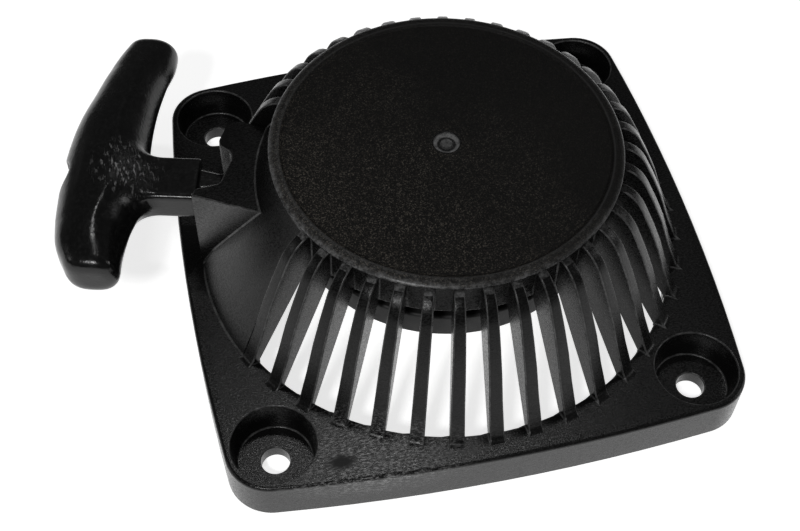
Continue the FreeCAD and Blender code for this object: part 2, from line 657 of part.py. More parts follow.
def make_handle():
    height = dim("handle_height")
    offset = Size(-dim("handle_offset").value, "(-Dimensions.handle_offset)")
    sections = []
    for number, (across, inner, outer, half) in enumerate(GRIP_STATIONS):
        section = doc.addObject("Part::Ellipse", f"grip_section_{number}")
        section.MajorRadius = (outer - inner) / 2
        section.MinorRadius = half
        place(section, (inner + outer) / 2, across, height, 90.0, Vector(1, 0, 0))
        sections.append(section)
    grip = doc.addObject("Part::Loft", "grip")
    grip.Sections = sections
    grip.Solid = True
    grip.Ruled = False
    root = dim("nose_root")
    width = dim("stem_width")
    thickness = dim("stem_thickness")
    length = Size(72.0, "72") - root
    stem = box("stem_block", length, width, thickness,
               x=root, y=offset - width * 0.5, z=height - thickness * 0.5)
    stem = filleted("stem", stem, dim("stem_edge_round"), lambda edge: edge.BoundBox.XLength > 5)
    nose = []
    for name, reach, wide, high in (("nose_end", dim("nose_tip"), 6.2, 5.6),
                                    ("nose_middle", root - 1.6, 10.0, 6.8),
                                    ("nose_base", root + 0.4, width, thickness)):
        plate = doc.addObject("Part::Ellipse", name)
        plate.MajorRadius = number_of(wide) / 2
        plate.MinorRadius = number_of(high) / 2
        plate.Placement = Placement(Vector(number_of(reach), offset.value, height.value),
                                    Rotation(Vector(0, 1, 0), Vector(0, 0, 1), Vector(1, 0, 0), "XYZ"))
        nose.append(plate)
    tip = doc.addObject("Part::Loft", "handle_nose")
    tip.Sections = nose
    tip.Solid = True
    tip.Ruled = False
    body = fuse("handle_fused", [grip, stem, tip])
    bore = cylinder("handle_bore", dim("handle_bore_radius"), 60.0,
                    x=40.0, y=offset, z=height, turn=90.0, axis=Vector(0, 1, 0))
    pocket = cylinder("knot_pocket", dim("knot_pocket_radius"), 20.0,
                      x=dim("knot_pocket_floor"), y=offset, z=height, turn=90.0, axis=Vector(0, 1, 0))
    handle = cut("pull_handle", body, fuse("handle_openings", [bore, pocket]))
    return turn_about_axis(handle, "handle_angle")


def make_handle_washer():
    washer = ring("handle_rope_washer", dim("rope_radius") + 0.15, dim("knot_pocket_radius") - 0.25,
                  0.0, 1.0)
    outward = Rotation(Vector(0, 0, 1), dim("handle_angle").value).multiply(Rotation(Vector(0, 1, 0), 90))
    washer.Placement = Placement(handle_point(dim("knot_pocket_floor").value), outward)
    return washer


def make_handle_knot():
    floor = dim("knot_pocket_floor").value
    lumps = []
    for number, (aside, up) in enumerate(((1.3, 0.4), (-1.2, 0.6), (0.3, -1.3), (-0.2, 1.2))):
        lump = doc.addObject("Part::Sphere", f"handle_knot_lump_{number}")
        lump.Radius = 2.4
        middle = handle_point(floor + 3.5)
        lumps.append(place(lump, middle.x + aside * 0.2419, middle.y + aside * 0.9703, middle.z + up))
    outward = Rotation(Vector(0, 0, 1), dim("handle_angle").value).multiply(Rotation(Vector(0, 1, 0), 90))
    tail = cylinder("handle_knot_tail", dim("rope_radius"), 4.0)
    tail.Placement = Placement(handle_point(floor + 3.5), outward)
    return fuse("rope_handle_knot", lumps + [tail])


def make_parts():
    low = dim("spacer_bottom")
    high = dim("spacer_top")
    screw = dim("screw_radius")
    head = dim("screw_head_top")
    friction_low = dim("friction_plate_bottom") + dim("friction_plate_skin") + 0.15
    parts = [
        make_housing(),
        make_insert(),
        make_rope_guide(),
        make_recoil_spring(),
        ring("spring_cover", dim("cover_hole_radius"), dim("ring_inner_radius") - 0.1, dim("cover_bottom"),
             dim("cover_skin")),
        ring("screw_spacer", screw + 0.1, dim("spacer_radius"), low, high - low),
        coil_spring("friction_spring", dim("friction_coil_radius"), dim("friction_wire_radius"),
                    friction_low, high - 0.1 - friction_low, 3.0),
        ring("thrust_washer", screw + 0.15, dim("thrust_radius"), high, dim("post_end") - high),
        ring("lock_washer", screw + 0.15, dim("screw_head_radius") + 0.5, head, low - head),
        make_screw(),
        make_reel(),
        make_rope_coil(),
        make_reel_knot(),
        make_pawl_pins(),
    ]
    for number, name in enumerate(("pawl_spring_a", "pawl_spring_b")):
        x, y, _ = pivot(number)
        low = dim("pawl_bottom") + dim("pawl_skin") + 0.15
        parts.append(coil_spring(name, dim("pawl_pin_radius") + 0.85, Size(0.4, "0.4"), low,
                                 dim("pawl_boss_bottom") - 0.1 - low, 3.0, x=x, y=y))
    parts += [
        make_pawl(0, "pawl_a"),
        make_pawl(1, "pawl_b"),
        make_friction_plate(),
        make_handle(),
        make_handle_washer(),
        make_handle_knot(),
        make_rope_lead(),
    ]
    return parts


def write_parts(parts):
    """Write each sub-part to its own file, after checking that everything was built."""
    doc.recompute()
    for item in doc.Objects:
        if "Invalid" in item.State or "Error" in item.State:
            raise RuntimeError(f"{item.Name} was not built")
    for part in parts:
        if part.Shape.isNull() or not part.Shape.isValid():
            raise RuntimeError(f"{part.Name} has no valid shape")
    os.makedirs("parts", exist_ok=True)
    for part in parts:
        part.Label = part.Name
        part.Shape.exportStep(f"parts/{part.Name}.step")


write_parts(make_parts())
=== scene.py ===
import math

import bmesh
import bpy
import numpy as np
from mathutils import Matrix, Vector


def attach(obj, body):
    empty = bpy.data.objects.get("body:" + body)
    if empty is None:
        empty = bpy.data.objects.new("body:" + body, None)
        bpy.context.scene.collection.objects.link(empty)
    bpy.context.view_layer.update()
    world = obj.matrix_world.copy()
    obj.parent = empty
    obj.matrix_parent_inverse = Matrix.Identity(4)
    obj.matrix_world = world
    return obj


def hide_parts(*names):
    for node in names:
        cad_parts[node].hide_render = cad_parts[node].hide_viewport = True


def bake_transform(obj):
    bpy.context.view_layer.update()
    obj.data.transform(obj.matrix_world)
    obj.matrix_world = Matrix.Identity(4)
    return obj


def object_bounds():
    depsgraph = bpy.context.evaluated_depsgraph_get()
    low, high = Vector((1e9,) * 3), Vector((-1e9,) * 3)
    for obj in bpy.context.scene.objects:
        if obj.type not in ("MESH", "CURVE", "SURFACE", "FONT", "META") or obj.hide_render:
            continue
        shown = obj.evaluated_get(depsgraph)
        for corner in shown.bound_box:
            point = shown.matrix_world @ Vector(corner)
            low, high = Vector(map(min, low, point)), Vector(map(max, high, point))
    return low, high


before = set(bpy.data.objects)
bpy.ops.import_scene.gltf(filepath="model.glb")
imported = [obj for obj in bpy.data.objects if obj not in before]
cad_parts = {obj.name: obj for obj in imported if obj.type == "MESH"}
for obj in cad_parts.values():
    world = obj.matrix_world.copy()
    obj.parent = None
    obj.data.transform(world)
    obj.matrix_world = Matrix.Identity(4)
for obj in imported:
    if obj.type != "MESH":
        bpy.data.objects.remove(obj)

cad_low, cad_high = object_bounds()
MM = 0.001

# Heights above the mounting face, radii about the reel's axis, and the places of painted glints, the sink
# mark and the scuffs, in millimetres.
ABOVE_FLANGE = 11.0
CAP_FROM = 40.5
GRAIN_FROM, GRAIN_INNER, GRAIN_OUTER = 41.2, 3.1, 36.5
GLINT_PLACE = (-26.0, -52.0, 10.4)
SINK_PLACE = (-32.3, -51.8, 10.4)
SCUFF_AND_GLINT_PLACE = (-65.5, 15.5, 32.0)

CAP_TINT = (1.12, 1.0, 0.84)
CORNER_LAYER = "edge"


# ---------------------------------------------------------------- materials

class Nodes:
    """Short calls for building one material's node tree. Distances inside the tree are in metres."""

    def __init__(self, name, **inputs):
        self.material = bpy.data.materials.new(name)
        self.material.use_nodes = True
        self.tree = self.material.node_tree
        self.shader = self.tree.nodes["Principled BSDF"]
        for key, value in inputs.items():
            self.shader.inputs[key.replace("_", " ")].default_value = value
        self.place = self.tree.nodes.new("ShaderNodeTexCoord").outputs["Object"]

    def node(self, kind, links=None, **settings):
        made = self.tree.nodes.new(kind)
        for key, value in settings.items():
            if hasattr(made, key):
                setattr(made, key, value)
            else:
                made.inputs[key.replace("_", " ")].default_value = value
        for key, source in (links or {}).items():
            self.tree.links.new(source, made.inputs[key])
        return made

    def fill(self, made, values):
        """Sets some of a node's inputs, each to a fixed value or to another node's output."""
        for slot, value in values.items():
            if isinstance(value, (int, float, tuple)):
                made.inputs[slot].default_value = value
            else:
                self.tree.links.new(value, made.inputs[slot])

    def feed(self, name, source):
        self.tree.links.new(source, self.shader.inputs[name])

    def noise(self, scale, detail=3.0, roughness=0.5, stretch=(1, 1, 1)):
        mapping = self.node("ShaderNodeMapping", {"Vector": self.place})
        mapping.inputs["Scale"].default_value = stretch
        return self.node("ShaderNodeTexNoise", {"Vector": mapping.outputs[0]},
                         Scale=scale, Detail=detail, Roughness=roughness).outputs[0]

    def ramp(self, source, stops):
        made = self.node("ShaderNodeValToRGB", {"Fac": source})
        elements = made.color_ramp.elements
        while len(elements) < len(stops):
            elements.new(0.5)
        for element, (position, value) in zip(elements, stops):
            element.position = position
            element.color = (value, value, value, 1.0)
        return made.outputs[0]

    def maths(self, operation, first, second=0.0):
        made = self.node("ShaderNodeMath", operation=operation)
        self.fill(made, {0: first, 1: second})
        return made.outputs[0]

    def product(self, *factors):
        result = factors[0]
        for factor in factors[1:]:
            result = self.maths("MULTIPLY", result, factor)
        return result

    def over(self, source, limit):
        """1 where a distance is more than so many millimetres, and 0 elsewhere."""
        return self.maths("GREATER_THAN", source, limit * MM)

    def under(self, source, limit):
        """1 where a distance is less than so many millimetres, and 0 elsewhere."""
        return self.maths("LESS_THAN", source, limit * MM)

    def distance(self, place, scale=(1.0, 1.0, 1.0)):
        """How far a point is from a place given in millimetres, with each direction scaled."""
        apart = self.node("ShaderNodeVectorMath", {0: self.place}, operation="SUBTRACT")
        apart.inputs[1].default_value = tuple(part * MM for part in place)
        scaled = self.node("ShaderNodeVectorMath", {0: apart.outputs[0]}, operation="MULTIPLY")
        scaled.inputs[1].default_value = scale
        return self.node("ShaderNodeVectorMath", {0: scaled.outputs[0]}, operation="LENGTH").outputs["Value"]

    def profile(self, distance, reach, stops):
        """A ramp over a distance from 0 to reach, with reach and the stops in millimetres."""
        return self.ramp(self.product(distance, 1.0 / (reach * MM)),
                         [(place / reach, value) for place, value in stops])

    def mixed(self, share, low, high):
        """A colour between two others."""
        made = self.node("ShaderNodeMix", {"Factor": share}, data_type="RGBA")
        self.fill(made, {6: low, 7: high})
        return made.outputs[2]

    def blended(self, share, low, high):
        """A number between two others."""
        made = self.node("ShaderNodeMix", {"Factor": share}, data_type="FLOAT")
        self.fill(made, {2: low, 3: high})
        return made.outputs[0]

    def turned(self, share, low, high):
        """A direction between two others."""
        made = self.node("ShaderNodeMix", {"Factor": share}, data_type="VECTOR")
        self.fill(made, {4: low, 5: high})
        return made.outputs[1]

    def bump(self, source, strength, distance, after=None):
        links = {"Height": source}
        if after is not None:
            links["Normal"] = after
        made = self.node("ShaderNodeBump", links, Distance=distance)
        self.fill(made, {"Strength": strength})
        return made.outputs[0]


def grey(value, tint=(1.0, 1.0, 1.0)):
    return (value * tint[0], value * tint[1], value * tint[2], 1.0)


def satin_colour(made, clouds, sink):
    """The flange and the ribs, with painted glints of reflected light on the flange's front strip, left out
    over a sink mark.
    """
    beside = made.profile(made.distance(GLINT_PLACE, (0.7, 1.0, 2.0)), 20.0, [(3.0, 1.0), (16.0, 0.0)])
    # Painted glints of reflected light on the front strip, left out over the sink mark.
    painted_glints = made.ramp(made.noise(2600.0, 3.0, 0.8, (0.35, 1.0, 1.0)), [(0.50, 0.0), (0.60, 1.0)])
    share = made.product(painted_glints, beside, made.maths("SUBTRACT", 1.0, sink))
    return made.mixed(share, made.mixed(clouds, grey(0.0030), grey(0.0058)), grey(0.22))


def cap_colour(made, clouds, painted_glint_side):
    """The cap's face: slightly brown, with painted glints as light specks, more towards the lit front and
    left.
    """
    specks = made.ramp(made.noise(3400.0, 3.0, 0.8), [(0.54, 0.0), (0.68, 1.0)])
    dark = made.mixed(clouds, grey(0.0012, CAP_TINT), grey(0.0030, CAP_TINT))
    # Painted glints: light specks on the cap's grain.
    return made.mixed(made.product(specks, painted_glint_side), dark, grey(0.15, CAP_TINT))


def with_highlights_and_gate_mark(made, colour, radius, height, painted_glint_side):
    """A colour with painted highlights on the cap's rim lip, along its step and on the rounded corners below
    the cap, and with the cap's gate mark.
    """
    on_top = made.over(height, CAP_FROM)
    # Painted highlight on the rim's rounded lip, stronger towards the lit front and left.
    rim = made.profile(radius, 50.0, [(34.5, 0.0), (34.9, 0.5), (35.6, 0.2), (36.6, 1.0)])
    streaks = made.ramp(made.noise(900.0, 4.0, 0.8), [(0.42, 0.15), (0.62, 1.0)])
    colour = made.mixed(made.product(rim, painted_glint_side, streaks, on_top), colour, grey(0.13))
    # Painted highlight along the edge of the step.
    step = made.profile(radius, 50.0, [(34.45, 0.0), (34.7, 0.60), (34.95, 0.0)])
    colour = made.mixed(made.product(step, on_top), colour, grey(0.045))
    # Painted highlights on the rounded edges below the cap, broken up by noise.
    corner = made.node("ShaderNodeAttribute", attribute_name=CORNER_LAYER).outputs["Fac"]
    edge_highlight_breakup = made.ramp(made.noise(500.0, 4.0, 0.7), [(0.38, 0.25), (0.66, 1.0)])
    colour = made.mixed(made.product(corner, made.under(height, CAP_FROM), edge_highlight_breakup), colour, grey(0.085))
    mark = made.profile(radius, 4.0, [(0.0, 0.4), (1.12, 0.7), (1.44, 0.05), (1.84, 0.1), (2.08, 1.0),
                                      (2.56, 1.0), (2.84, 0.0)])
    pits = made.ramp(made.noise(1200.0, 3.0, 0.7), [(0.35, 0.35), (0.60, 1.0)])
    return made.mixed(made.product(mark, pits, on_top), colour, grey(0.17))


def housing_plastic():
    """Black moulded plastic, satin on the flange and ribs and grained on the cap."""
    made = Nodes("housing_plastic")
    x, y, height = made.node("ShaderNodeSeparateXYZ", {"Vector": made.place}).outputs
    radius = made.maths("POWER", made.maths("ADD", made.product(x, x), made.product(y, y)), 0.5)
    on_cap = made.product(made.over(height, GRAIN_FROM), made.under(radius, GRAIN_OUTER),
                          made.over(radius, GRAIN_INNER))
    clouds = made.ramp(made.noise(30.0, 5.0, 0.6), [(0.35, 0.0), (0.7, 1.0)])
    sink = made.profile(made.distance(SINK_PLACE, (0.55, 1.0, 1.0)), 4.0, [(0.8, 1.0), (2.0, 0.0)])
    # Where painted glints and the rim's painted highlight fall: more towards the front and left, broken up by
    # noise.
    leaning = made.maths("ADD", made.product(x, 1.3), y)
    painted_glint_side = made.ramp(made.maths("SUBTRACT", made.noise(55.0, 3.0, 0.6), made.product(leaning, 9.0)),
                       [(0.30, 0.12), (0.95, 1.0)])
    plain = made.mixed(on_cap, satin_colour(made, clouds, sink), cap_colour(made, clouds, painted_glint_side))
    made.feed("Base Color", with_highlights_and_gate_mark(made, plain, radius, height, painted_glint_side))
    wear = made.noise(2600.0, 2.0, 0.6, (0.6, 1.0, 1.0))
    satin_rough = made.blended(sink, made.ramp(wear, [(0.36, 0.16), (0.62, 0.36)]), 0.46)
    cap_rough = made.ramp(wear, [(0.3, 0.38), (0.7, 0.60)])
    made.feed("Roughness", made.blended(on_cap, satin_rough, cap_rough))
    satin_shine = made.blended(made.over(height, ABOVE_FLANGE), 0.35, 0.23)
    made.feed("Specular IOR Level", made.blended(on_cap, satin_shine, 0.20))
    satin_grain = made.bump(made.noise(2800.0, 3.0, 0.8), 0.19, 0.0002)
    cap_grain = made.bump(made.noise(2200.0, 3.0, 0.7), 0.50, 0.0003)
    made.feed("Normal", made.turned(on_cap, satin_grain, cap_grain))
    return made.material


def handle_plastic():
    """Glossier black plastic, with scuffs where the stem meets the grip, lightened there with painted glints.
    """
    made = Nodes("handle_plastic", Specular_IOR_Level=0.36)
    specks = made.ramp(made.noise(1300.0, 4.0, 0.7), [(0.45, 0.0), (0.75, 1.0)])
    plain = made.mixed(specks, grey(0.0036), grey(0.0110))
    scuffs_and_glints = made.profile(made.distance(SCUFF_AND_GLINT_PLACE), 20.0, [(2.0, 1.0), (8.667, 0.0)])
    streaks = made.noise(1500.0, 3.0, 0.7, (1.0, 0.3, 1.0))
    painted_glints = made.ramp(streaks, [(0.56, 0.0), (0.66, 1.0)])
    # The scuffs are real and get a bump below; their lightening here is painted glints.
    made.feed("Base Color", made.mixed(made.product(painted_glints, scuffs_and_glints), plain, grey(0.30)))
    made.feed("Roughness", made.ramp(made.noise(500.0, 3.0, 0.6), [(0.25, 0.14), (0.75, 0.30)]))
    grain = made.bump(made.noise(1500.0, 2.0, 0.6), 0.22, 0.0002)
    made.feed("Normal", made.bump(streaks, made.product(scuffs_and_glints, 0.8), 0.0006, grain))
    return made.material


def reel_plastic():
    """Dull black moulded plastic with faint flow clouds."""
    made = Nodes("reel_plastic", Specular_IOR_Level=0.5)
    clouds = made.ramp(made.noise(38.0, 4.0, 0.55), [(0.35, 0.0), (0.7, 1.0)])
    made.feed("Base Color", made.mixed(clouds, grey(0.010), grey(0.016)))
    made.feed("Roughness", made.ramp(made.noise(420.0, 3.0, 0.6), [(0.25, 0.45), (0.75, 0.6)]))
    broad = made.bump(made.noise(90.0, 2.0, 0.5), 0.12, 0.0006)
    made.feed("Normal", made.bump(made.noise(2200.0, 2.0, 0.6), 0.2, 0.0002, broad))
    return made.material


def metal(name, colour, rough, marks=(1, 1, 1)):
    """Plain metal with slight stains and fine machining marks, stretched as marks says."""
    made = Nodes(name, Metallic=1.0)
    stains = made.ramp(made.noise(120.0, 4.0, 0.6), [(0.35, 0.0), (0.65, 1.0)])
    stained = tuple(part * 0.85 for part in colour)
    made.feed("Base Color", made.mixed(stains, (*stained, 1.0), (*colour, 1.0)))
    lines = made.noise(900.0, 3.0, 0.6, marks)
    made.feed("Roughness", made.ramp(lines, [(0.2, rough[0]), (0.8, rough[1])]))
    made.feed("Normal", made.bump(lines, 0.15, 0.0001))
    return made.material


def braided_cord():
    """Black braided cord."""
    made = Nodes("braided_rope", Sheen_Weight=0.25, Specular_IOR_Level=0.3)
    fibres = made.noise(2600.0, 2.0, 0.7)
    made.feed("Base Color", made.mixed(fibres, grey(0.012), grey(0.05)))
    made.feed("Roughness", made.ramp(fibres, [(0.2, 0.7), (0.8, 0.95)]))
    made.feed("Normal", made.bump(fibres, 0.4, 0.0001))
    return made.material


HOUSING = housing_plastic()
HANDLE = handle_plastic()
REEL = reel_plastic()
ZINC = metal("zinc_plate", (0.62, 0.62, 0.60), (0.28, 0.45), (1, 1, 8))
STEEL = metal("oiled_steel", (0.33, 0.34, 0.36), (0.3, 0.5), (1, 1, 6))
SINTERED = metal("sintered_steel", (0.40, 0.39, 0.38), (0.45, 0.65))
BRASS = metal("brass", (0.72, 0.53, 0.26), (0.28, 0.42), (1, 1, 10))
ROPE = braided_cord()

NODE_MATERIALS = {
    "starter_housing": HOUSING, "post_insert": BRASS, "rope_guide_bush": ZINC, "recoil_spring": STEEL,
    "spring_cover": ZINC, "screw_spacer": ZINC, "friction_spring": STEEL, "thrust_washer": ZINC,
    "lock_washer": ZINC, "centre_screw": ZINC, "rope_reel": REEL, "starter_rope_coil": ROPE,
    "rope_reel_knot": ROPE, "pawl_pins": ZINC, "pawl_spring_a": STEEL, "pawl_spring_b": STEEL,
    "pawl_a": SINTERED, "pawl_b": SINTERED, "friction_plate": ZINC, "pull_handle": HANDLE,
    "handle_rope_washer": ZINC, "rope_handle_knot": ROPE, "starter_rope_lead": ROPE,
}
for node_name, material in NODE_MATERIALS.items():
    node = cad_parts[node_name]
    node.data.materials.clear()
    node.data.materials.append(material)


# ---------------------------------------------------------------- smooth solids from distance fields

PROBE = 0.01
CORNERS = [(0, 0, 0), (1, 0, 0), (0, 1, 0), (1, 1, 0), (0, 0, 1), (1, 0, 1), (0, 1, 1), (1, 1, 1)]
EDGES = [(a, b) for a in range(8) for b in range(a + 1, 8)
         if sum(abs(u - v) for u, v in zip(CORNERS[a], CORNERS[b])) == 1]


def smooth_min(a, b, radius):
    """Union of two fields with a fillet of about this radius."""
    share = np.clip(0.5 + 0.5 * (b - a) / radius, 0.0, 1.0)
    return b + (a - b) * share - radius * share * (1.0 - share)


def smooth_max(a, b, radius):
    return -smooth_min(-a, -b, radius)


def mesh_from_field(field, low, high, step):
    """Vertices and quads on the surface where field(x, y, z) is zero; the field is negative inside."""
    axes = [np.arange(a, b + step, step) for a, b in zip(low, high)]
    values = field(*np.meshgrid(*axes, indexing="ij"))
    inside = values < 0
    shape = tuple(n - 1 for n in values.shape)
    count = sum(inside[x:x + shape[0], y:y + shape[1], z:z + shape[2]].astype(np.int8) for x, y, z in CORNERS)
    cells = np.argwhere((count > 0) & (count < len(CORNERS)))
    points = np.array(low) + (cells + crossings(values, cells)) * step
    settle(points, field, step / 2)
    number = np.full(shape, -1, np.int64)
    number[tuple(cells.T)] = np.arange(len(cells))
    return points, quads_between(inside, shape, number)


def crossings(values, cells):
    """The middle of the places where the surface crosses each cell's edges, as shares of the cell."""
    corner_values = np.stack([values[tuple((cells + c).T)] for c in CORNERS], 1)
    total = np.zeros((len(cells), 3))
    hits = np.zeros(len(cells))
    for a, b in EDGES:
        crossed = (corner_values[:, a] < 0) != (corner_values[:, b] < 0)
        share = corner_values[crossed, a] / (corner_values[crossed, a] - corner_values[crossed, b])
        start, end = np.array(CORNERS[a], float), np.array(CORNERS[b], float)
        total[crossed] += start + share[:, None] * (end - start)
        hits[crossed] += 1
    return total / hits[:, None]


def settle(points, field, furthest):
    """Moves points along the field's slope onto its surface, in three steps."""
    for _ in range(3):
        value = field(*points.T)
        slope = np.stack([(field(*(points + probe).T) - field(*(points - probe).T)) / (2 * PROBE)
                          for probe in np.eye(3) * PROBE], 1)
        steepness = np.maximum((slope ** 2).sum(1), 0.05)
        points -= np.clip(value / steepness, -furthest, furthest)[:, None] * slope


def quads_between(inside, shape, number):
    """A quad for each pair of neighbouring grid points with one inside and one outside."""
    quads = []
    for axis in range(3):
        first = [slice(1, n) for n in shape]
        first[axis] = slice(0, shape[axis])
        second = list(first)
        second[axis] = slice(1, shape[axis] + 1)
        start, end = inside[tuple(first)], inside[tuple(second)]
        at = np.argwhere(start != end) + np.array([0 if n == axis else 1 for n in range(3)])
        one, two = np.zeros(3, int), np.zeros(3, int)
        one[(axis + 1) % 3] = 1
        two[(axis + 2) % 3] = 1
        ring = np.stack([number[tuple((at - shift).T)] for shift in (one + two, two, one * 0, one)], 1)
        solid_first = inside[tuple(at.T)]
        quads.append(np.where(solid_first[:, None], ring, ring[:, ::-1]))
    return np.concatenate(quads)


def object_from(name, points, faces, material):
    """A smooth object from points in millimetres."""
    mesh = bpy.data.meshes.new(name)
    mesh.from_pydata([tuple(p) for p in points * MM], [], [tuple(int(i) for i in f) for f in faces])
    mesh.validate()
    mesh.materials.append(material)
    mesh.shade_smooth()
    made = bpy.data.objects.new(name, mesh)
    bpy.context.scene.collection.objects.link(made)
    return made


def curve_through(stations, spacing=0.1):
    """Smooth curves through rows of (place, values...), sampled at a fine spacing."""
    rows = np.array(stations, float)
    at = rows[:, 0]
    slope = np.gradient(rows[:, 1:], at, axis=0)
    fine = np.arange(at[0], at[-1] + spacing, spacing)
    left = np.clip(np.searchsorted(at, fine, side="right") - 1, 0, len(at) - 2)
    width = (at[left + 1] - at[left])[:, None]
    share = (fine - at[left])[:, None] / width
    rest = 1 - share
    value = (rows[left, 1:] * (1 + 2 * share) * rest ** 2
             + slope[left] * width * share * rest ** 2
             + rows[left + 1, 1:] * share ** 2 * (3 - 2 * share)
             - slope[left + 1] * width * share ** 2 * rest)
    return fine, value


# ---------------------------------------------------------------- moulded and pressed parts

SAME_PLACE = 2e-6
FLAT_WITHIN = math.radians(0.6)
CORNER_FROM = math.radians(28.0)
SHADE_SHARP_FROM = math.radians(38.0)
ROOM_PER_WIDTH = 1.6


def softened(node_name, body, material, width):
    """A copy of a part with its sharp edges rounded by a width in metres, standing for the part."""
    shape = bmesh.new()
    shape.from_mesh(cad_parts[node_name].data)
    highlight_edge_faces = shape.faces.layers.float.new(CORNER_LAYER)
    bmesh.ops.remove_doubles(shape, verts=shape.verts, dist=SAME_PLACE)
    bmesh.ops.dissolve_limit(shape, angle_limit=FLAT_WITHIN, verts=shape.verts, edges=shape.edges)
    # An edge is rounded only where every edge at both its ends leaves room for the rounding.
    room = {vert: min(edge.calc_length() for edge in vert.link_edges) for vert in shape.verts}
    edges = [edge for edge in shape.edges
             if edge.is_manifold and edge.calc_face_angle(0.0) > CORNER_FROM
             and min(room[edge.verts[0]], room[edge.verts[1]]) > ROOM_PER_WIDTH * width]
    rounded = bmesh.ops.bevel(shape, geom=edges, offset=width, offset_type="OFFSET", segments=2,
                              profile=0.5, affect="EDGES", clamp_overlap=False)["faces"]
    # The rounded faces are marked so that the housing's material can paint highlights on them.
    for face in rounded:
        face[highlight_edge_faces] = 1.0
    mesh = bpy.data.meshes.new(node_name + "_edges")
    shape.to_mesh(mesh)
    shape.free()
    mesh.materials.clear()
    mesh.materials.append(material)
    mesh.shade_smooth()
    mesh.set_sharp_from_angle(angle=SHADE_SHARP_FROM)
    made = bpy.data.objects.new(node_name + "_moulded", mesh)
    bpy.context.scene.collection.objects.link(made)
    weigh = made.modifiers.new("flat_faces", "WEIGHTED_NORMAL")
    weigh.keep_sharp = True
    weigh.weight = 100
    shaded = made.evaluated_get(bpy.context.evaluated_depsgraph_get())
    made.data = bpy.data.meshes.new_from_object(shaded)
    made.modifiers.clear()
    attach(made, body)
    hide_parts(node_name)


softened("starter_housing", "housing", HOUSING, 0.00028)
softened("rope_reel", "reel", REEL, 0.00025)
for pawl in ("pawl_a", "pawl_b"):
    softened(pawl, pawl, SINTERED, 0.00022)
softened("friction_plate", "friction_plate", ZINC, 0.0002)


# ---------------------------------------------------------------- rope, in millimetres

ROPE_RADIUS = 1.5
ROPE_HEIGHT = 28.15
DRUM_TURN, OUTER_TURN = 17.65, 28.4
STRAND_PAIRS = 4
STRAND_TWIST = 2.16
STRAND_DEPTH = 0.075
GUIDE_ANGLE, GUIDE_OFFSET, GUIDE_HEIGHT = 151.0, 13.0, 26.4
GUIDE_INNER_END, GUIDE_OUTER_END, GUIDE_PLAY = 37.8, 44.2, 0.75
FREE_FROM = 44.1

# The line of the pull: its direction, its turn about the vertical, its offset from the reel's axis
# and its height, and how far along it the handle's nose and the end of the rope are.
PULL = (-0.9703, 0.2419, 0.0)
HANDLE_TURN = Matrix.Rotation(math.radians(166.0), 4, "Z")
HANDLE_OFFSET, HANDLE_HEIGHT = 0.95, 25.2
NOSE_MOUTH, LEAD_END = 47.0, 75.0


def even_path(points, step):
    """A path resampled at an even spacing after its corners are rounded, and the length up to each point."""
    line = np.array(points, float)
    for _ in range(3):
        first, second = line[:-1], line[1:]
        cut = np.empty((2 * len(first), 3))
        cut[0::2] = first * 0.75 + second * 0.25
        cut[1::2] = first * 0.25 + second * 0.75
        line = np.concatenate([line[:1], cut, line[-1:]])
    along = np.concatenate([[0.0], np.cumsum(np.linalg.norm(np.diff(line, axis=0), axis=1))])
    at = np.linspace(0.0, along[-1], max(int(along[-1] / step), 3) + 1)
    return np.stack([np.interp(at, along, line[:, n]) for n in range(3)], 1), at


def side_directions(tangent):
    """For each direction of a path, a direction square to it that doesn't spin from one to the next."""
    side = np.cross(tangent[0], (0.1, 0.2, 1.0))
    sides = []
    for direction in tangent:
        side = side - direction * side.dot(direction)
        side = side / np.linalg.norm(side)
        sides.append(side)
    return np.array(sides)


def braided(name, path, at, radius, around=20, closed=False, plain=None):
    """A braided cord along a path: rings whose radius rises where the strands cross.

    plain, if given, says for each ring how far its strands are smoothed away.
    """
    tangent = np.gradient(path, axis=0)
    if closed:
        tangent = np.roll(path, -1, 0) - np.roll(path, 1, 0)
    tangent /= np.linalg.norm(tangent, axis=1)[:, None]
    sides = side_directions(tangent)
    ups = np.cross(tangent, sides)
    turn = np.arange(around) * 2 * math.pi / around
    twist = at[:, None] * STRAND_TWIST
    wave = STRAND_PAIRS * turn[None]
    lumps = 0.5 * (np.cos(wave + twist) ** 2 + np.cos(wave - twist) ** 2)
    if plain is not None:
        lumps = lumps * (1.0 - plain[:, None]) + 0.7 * plain[:, None]
    size = radius * (1.0 - STRAND_DEPTH + STRAND_DEPTH * lumps)
    points = (path[:, None] + size[..., None] * (np.cos(turn)[None, :, None] * sides[:, None]
                                                 + np.sin(turn)[None, :, None] * ups[:, None])).reshape(-1, 3)
    count = len(path)
    ring = np.arange(count if closed else count - 1)[:, None]
    spoke = np.arange(around)[None]
    following, beside = (ring + 1) % count, (spoke + 1) % around
    quads = np.stack([ring * around + spoke, ring * around + beside,
                      following * around + beside, following * around + spoke], -1).reshape(-1, 4)
    faces = [tuple(quad) for quad in quads]
    if not closed:
        faces.append(tuple(range(around - 1, -1, -1)))
        faces.append(tuple((count - 1) * around + n for n in range(around)))
    return object_from(name, points, faces, ROPE)


def polar(radius, degrees, height):
    angle = math.radians(degrees)
    return (radius * math.cos(angle), radius * math.sin(angle), height)


def on_pull_line(reach):
    """A point on the line of the pull through the handle's bore."""
    return tuple(HANDLE_TURN @ Vector((reach, HANDLE_OFFSET, HANDLE_HEIGHT)))


def guide_point(reach, lift=0.0):
    """A point on the axis of the rope guide, at a distance along it from beside the reel's axis."""
    angle = math.radians(GUIDE_ANGLE)
    return (reach * math.cos(angle) - GUIDE_OFFSET * math.sin(angle),
            reach * math.sin(angle) + GUIDE_OFFSET * math.cos(angle), GUIDE_HEIGHT + lift)


def leaving_angle():
    """Where on the reel the rope leaves for the guide, in degrees."""
    x, y, _ = guide_point(GUIDE_INNER_END)
    return math.degrees(math.atan2(y, x) + math.acos(OUTER_TURN / math.hypot(x, y)))


